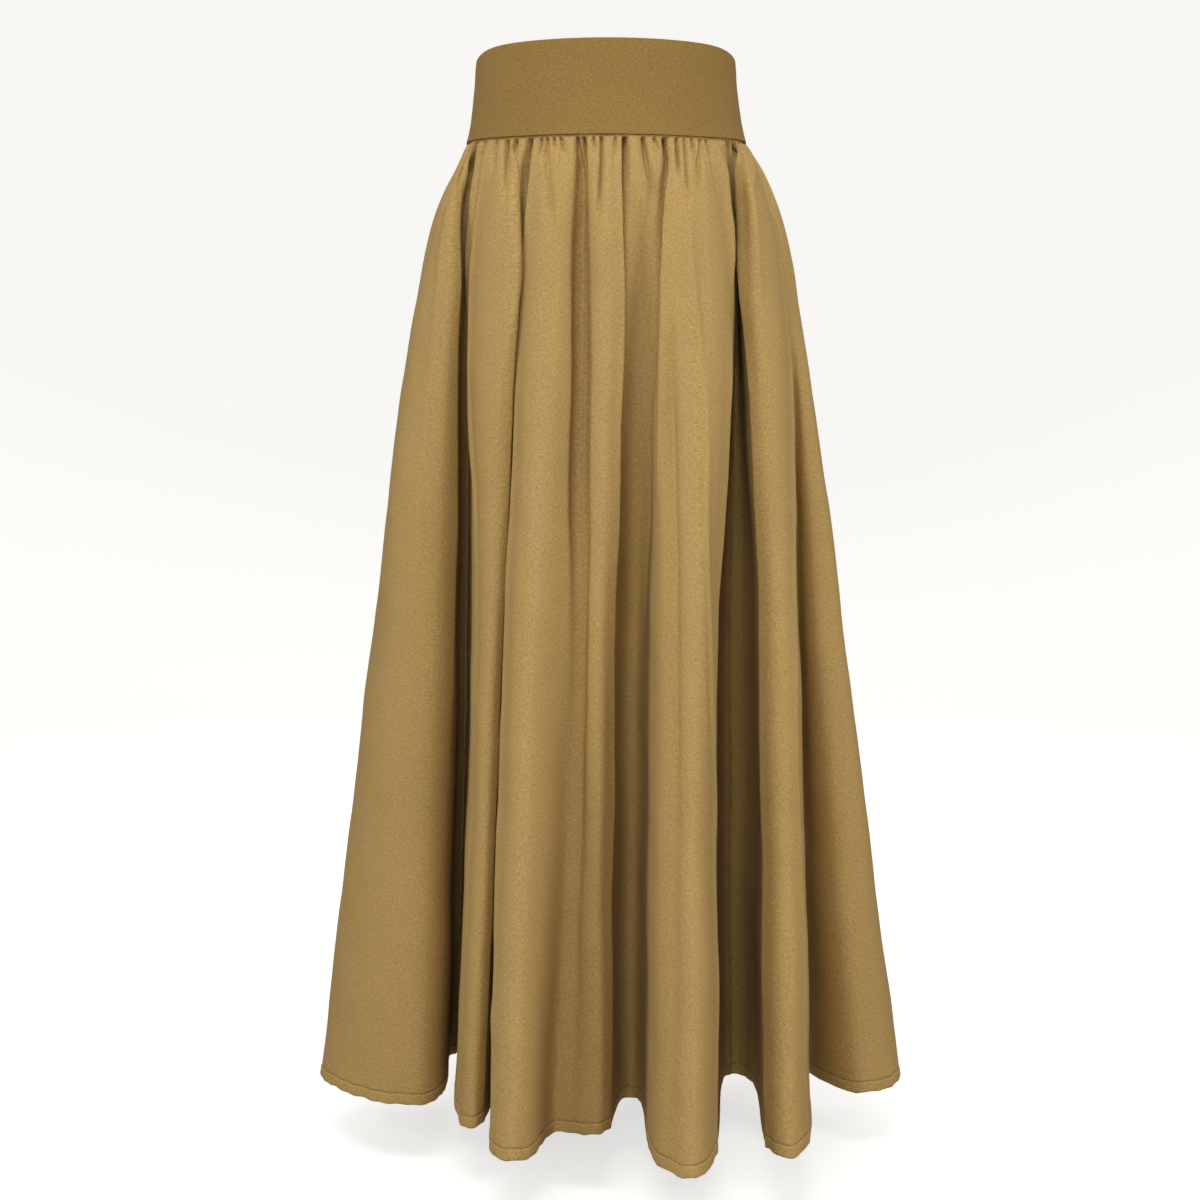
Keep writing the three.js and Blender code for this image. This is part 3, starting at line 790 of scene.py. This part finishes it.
def hem_stitches(name, places):
    ring = int(np.argmin(np.abs(RINGS - (HEM_Z + STITCH_UP))))
    line = places[:, ring, :]
    steps = np.linalg.norm(np.diff(line, axis=0), axis=1)
    run = np.concatenate([[0], np.cumsum(steps)])
    count = int(run[-1] // STITCH_PITCH)
    mesh = bpy.data.meshes.new(name)
    bm = bmesh.new()
    for k in range(count):
        middle = (k + 0.5) * run[-1] / count
        ends = [[np.interp(middle + d, run, line[:, axis]) for axis in range(3)] for d in (-1, 1)]
        a, b = Vector(ends[0]), Vector(ends[1])
        along = (b - a).normalized()
        outwards = along.cross(Vector((0, 0, 1))).normalized()
        turn = Matrix((along, outwards, along.cross(outwards))).transposed().to_4x4()
        size = Matrix.Diagonal((STITCH_HALF * MM, THREAD * MM, THREAD * MM, 1))
        centre = Matrix.Translation(((a + b) / 2 + outwards * STITCH_PROUD) * MM)
        bmesh.ops.create_icosphere(bm, subdivisions=1, radius=1.0, matrix=centre @ turn @ size)
    for face in bm.faces:
        face.smooth = True
    bm.to_mesh(mesh)
    bm.free()
    stitches = bpy.data.objects.new(name, mesh)
    bpy.context.collection.objects.link(stitches)
    print(name, "stitches:", count)
    return stitches


stitches = {node: hem_stitches("hem_stitches_" + node, hem_paths[node]) for node in PANELS}

# %% [markdown]
# ## Cloth finish
# The cloth is a matt crepe with a soft brushed nap. Close up it has a fine grain and tiny
# puckers, from farther off a faint mottling, and at grazing angles its nap catches light.
# All patterns read the cloth's own map, which is in metres along the cloth, so the grain
# keeps its size in every fold.

# %% Helpers for the material nodes
def socket_noise(tree, vector, scale, detail, rough=0.5):
    noise = tree.nodes.new("ShaderNodeTexNoise")
    noise.inputs["Scale"].default_value = scale
    noise.inputs["Detail"].default_value = detail
    noise.inputs["Roughness"].default_value = rough
    tree.links.new(vector, noise.inputs["Vector"])
    return noise.outputs["Fac"]


def ranged(tree, value, low, high, to_low, to_high):
    change = tree.nodes.new("ShaderNodeMapRange")
    change.inputs["From Min"].default_value = low
    change.inputs["From Max"].default_value = high
    change.inputs["To Min"].default_value = to_low
    change.inputs["To Max"].default_value = to_high
    tree.links.new(value, change.inputs["Value"])
    return change.outputs["Result"]


def math_node(tree, operation, a, b):
    node = tree.nodes.new("ShaderNodeMath")
    node.operation = operation
    for k, value in enumerate((a, b)):
        if isinstance(value, (int, float)):
            node.inputs[k].default_value = value
        else:
            tree.links.new(value, node.inputs[k])
    return node.outputs["Value"]


# %% A crepe material
THREADS_PER_METRE = 640


def stretched(tree, vector, across, along):
    change = tree.nodes.new("ShaderNodeMapping")
    change.inputs["Scale"].default_value = (across, along, 1)
    tree.links.new(vector, change.inputs["Vector"])
    return change.outputs["Vector"]


def crepe(name, colour, grain, nap, pucker):
    material = bpy.data.materials.new(name)
    material.use_nodes = True
    tree = material.node_tree
    shader = tree.nodes["Principled BSDF"]
    place = tree.nodes.new("ShaderNodeUVMap")
    place.uv_map = "cloth"
    spot = place.outputs["UV"]

    cloud = ranged(tree, socket_noise(tree, spot, 7, 2), 0.3, 0.7, -0.025, 0.025)
    mottle = ranged(tree, socket_noise(tree, spot, 38, 3), 0.3, 0.7, -0.014, 0.014)
    weft = socket_noise(tree, stretched(tree, spot, 0.55, 1.3), THREADS_PER_METRE, 2, 0.7)
    warp = socket_noise(tree, stretched(tree, spot, 1.3, 0.55), THREADS_PER_METRE, 2, 0.7)
    weave = math_node(tree, "ADD", ranged(tree, weft, 0.3, 0.7, -grain, grain),
                      ranged(tree, warp, 0.3, 0.7, 1 - grain, 1 + grain))
    shade = math_node(tree, "ADD", math_node(tree, "ADD", cloud, mottle), weave)
    tint = tree.nodes.new("ShaderNodeMixRGB")
    tint.blend_type = "MULTIPLY"
    tint.inputs["Fac"].default_value = 1.0
    tint.inputs["Color1"].default_value = (*colour, 1)
    tree.links.new(shade, tint.inputs["Color2"])
    tree.links.new(tint.outputs["Color"], shader.inputs["Base Color"])

    patch = tree.nodes.new("ShaderNodeAttribute")
    patch.attribute_name = "pucker"
    puckers = socket_noise(tree, stretched(tree, spot, 1.2, 0.7), 170, 3, 0.6)
    puckers = math_node(tree, "MULTIPLY", puckers,
                        ranged(tree, patch.outputs["Fac"], 0, 1, pucker, 4 * pucker))
    threads = math_node(tree, "MULTIPLY", math_node(tree, "ADD", weft, warp), 0.35)
    bump = tree.nodes.new("ShaderNodeBump")
    bump.inputs["Strength"].default_value = 0.8
    bump.inputs["Distance"].default_value = 0.001
    tree.links.new(math_node(tree, "ADD", threads, puckers), bump.inputs["Height"])
    tree.links.new(bump.outputs["Normal"], shader.inputs["Normal"])
    tree.links.new(ranged(tree, weft, 0.3, 0.7, 0.86, 0.96), shader.inputs["Roughness"])

    shader.inputs["Specular IOR Level"].default_value = 0.15
    shader.inputs["Sheen Weight"].default_value = nap
    shader.inputs["Sheen Roughness"].default_value = 0.45
    shader.inputs["Sheen Tint"].default_value = (1.0, 0.9, 0.72, 1)
    return material


SKIRT_COLOUR = (0.41, 0.272, 0.098)
BAND_COLOUR = (0.262, 0.163, 0.048)
skirt_cloth = crepe("camel_crepe", SKIRT_COLOUR, 0.19, 0.025, 0.5)
band_cloth = crepe("camel_band", BAND_COLOUR, 0.18, 0.06, 0.2)

# %% The thread
thread = bpy.data.materials.new("camel_thread")
thread.use_nodes = True
thread_shader = thread.node_tree.nodes["Principled BSDF"]
where_on = thread.node_tree.nodes.new("ShaderNodeTexCoord").outputs["Object"]
twist = socket_noise(thread.node_tree, where_on, 2600, 1)
thread_tint = thread.node_tree.nodes.new("ShaderNodeMixRGB")
thread_tint.blend_type = "MULTIPLY"
thread_tint.inputs["Fac"].default_value = 1.0
thread_tint.inputs["Color1"].default_value = (0.105, 0.06, 0.022, 1)
thread.node_tree.links.new(ranged(thread.node_tree, twist, 0.3, 0.7, 0.8, 1.15),
                           thread_tint.inputs["Color2"])
thread.node_tree.links.new(thread_tint.outputs["Color"], thread_shader.inputs["Base Color"])
thread_shader.inputs["Roughness"].default_value = 0.75
print("materials:", [m.name for m in (skirt_cloth, band_cloth, thread)])

# %% [markdown]
# ## Dressing the frame
# Each piece gets its material and rides on the part's single body.
# A gathered panel is wider than the seam it goes into, and flares towards the hem.

# %% Materials and bodies
for piece in cloth.values():
    piece.data.materials.append(skirt_cloth)
for strip in band.values():
    strip.data.materials.append(band_cloth)
for line in stitches.values():
    line.data.materials.append(thread)
for piece in [*cloth.values(), *band.values(), *stitches.values()]:
    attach(piece, "root")

# %% A record type for a cut panel's flat sizes, top and hem; no sizes are filled in
Cut = namedtuple("Cut", "top hem")

# %% [markdown]
# ## Studio
# The skirt hangs in a plain pale studio: a floor that curves up into a wall all round,
# and large soft lamps above, at both sides, in front and behind. Light from the front
# leaves the deep valleys dark, which is what draws the folds.

# %% Floor and wall in one sweep
FLOOR_Z = HEM_Z * MM - 0.06
STUDIO_RADIUS = 4.6
STUDIO_HEIGHT = 5.0
COVE = 1.2
PAPER_GLOW = 0.66

bm = bmesh.new()
profile = [(0.0, 0.0), (STUDIO_RADIUS - COVE, 0.0)]
for k in range(1, 13):
    turn = math.pi / 2 * k / 12
    profile.append((STUDIO_RADIUS - COVE + COVE * math.sin(turn), COVE * (1 - math.cos(turn))))
profile.append((STUDIO_RADIUS, STUDIO_HEIGHT))
verts = [bm.verts.new((r, 0, FLOOR_Z + h)) for r, h in profile]
edges = [bm.edges.new(pair) for pair in zip(verts, verts[1:])]
bmesh.ops.spin(bm, geom=verts + edges, cent=(0, 0, 0), axis=(0, 0, 1), angle=2 * math.pi,
               steps=64, use_merge=True, use_duplicate=False)
bmesh.ops.remove_doubles(bm, verts=bm.verts, dist=1e-5)
bmesh.ops.recalc_face_normals(bm, faces=bm.faces)
bmesh.ops.reverse_faces(bm, faces=bm.faces)
for face in bm.faces:
    face.smooth = True
studio_mesh = bpy.data.meshes.new("studio")
bm.to_mesh(studio_mesh)
bm.free()
studio = bpy.data.objects.new("studio", studio_mesh)
bpy.context.collection.objects.link(studio)
paper = bpy.data.materials.new("pale_paper")
paper.use_nodes = True
paper_shader = paper.node_tree.nodes["Principled BSDF"]
paper_shader.inputs["Base Color"].default_value = (0.6, 0.6, 0.59, 1)
paper_shader.inputs["Roughness"].default_value = 0.9
paper_shader.inputs["Specular IOR Level"].default_value = 0.1
paper_shader.inputs["Emission Color"].default_value = (1, 1, 0.99, 1)
paper_shader.inputs["Emission Strength"].default_value = PAPER_GLOW
studio.data.materials.append(paper)
studio.visible_diffuse = False
studio.visible_glossy = False
studio.visible_shadow = False
studio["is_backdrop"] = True


# %% Soft lamps
def softbox(name, place, target, size, power):
    lamp = bpy.data.lights.new(name, "AREA")
    lamp.shape = "RECTANGLE"
    lamp.size, lamp.size_y = size
    lamp.energy = power
    body = bpy.data.objects.new(name, lamp)
    bpy.context.collection.objects.link(body)
    body.location = place
    aim = Vector(target) - Vector(place)
    body.rotation_mode = "QUATERNION"
    body.rotation_quaternion = aim.to_track_quat("-Z", "Y")
    body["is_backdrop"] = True
    return body


softbox("top_lamp", (-0.3, -1.9, 2.3), (0, 0, -0.45), (2.0, 1.0), 50)
softbox("left_lamp", (-2.7, -1.7, 0.3), (0, 0, -0.5), (1.0, 2.2), 35)
softbox("right_lamp", (2.8, -1.5, 0.3), (0, 0, -0.5), (1.0, 2.2), 44)
softbox("front_lamp", (-0.3, -3.2, 0.2), (0, 0, -0.5), (1.4, 1.8), 28)
softbox("back_lamp", (0.0, 3.2, 1.6), (0, 0, -0.3), (2.2, 1.6), 40)
world = bpy.data.worlds.new("room")
bpy.context.scene.world = world
world.use_nodes = True
world.node_tree.nodes["Background"].inputs["Color"].default_value = (1, 0.9, 0.75, 1)
world.node_tree.nodes["Background"].inputs["Strength"].default_value = 0.225
bpy.context.scene.view_settings.view_transform = "Standard"
bpy.context.scene.view_settings.look = "None"

# %% [markdown]
# ## Camera
# The real picture was taken from about two metres, a little below the waist, looking
# slightly down. That is why the band's top edge curves up while the hem curves down.

# %% Camera at the same angle
CAMERA_AWAY = 2.0
CAMERA_SIDE = -0.0058
CAMERA_Z = -0.359
CAMERA_DOWN = 4.1
CAMERA_LENS = 61.4

lens = bpy.data.cameras.new("camera")
lens.lens = CAMERA_LENS
lens.sensor_width = 36
camera = bpy.data.objects.new("camera", lens)
bpy.context.collection.objects.link(camera)
camera.location = (CAMERA_SIDE, -CAMERA_AWAY, CAMERA_Z)
camera.rotation_euler = (math.radians(90 - CAMERA_DOWN), 0, 0)
bpy.context.scene.camera = camera

# %% Measure and finish
seen_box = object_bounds()
for corner_cad, corner_seen in zip(cad_box, seen_box):
    print("difference, mm:", [round((s - c) / MM, 1) for c, s in zip(corner_cad, corner_seen)])
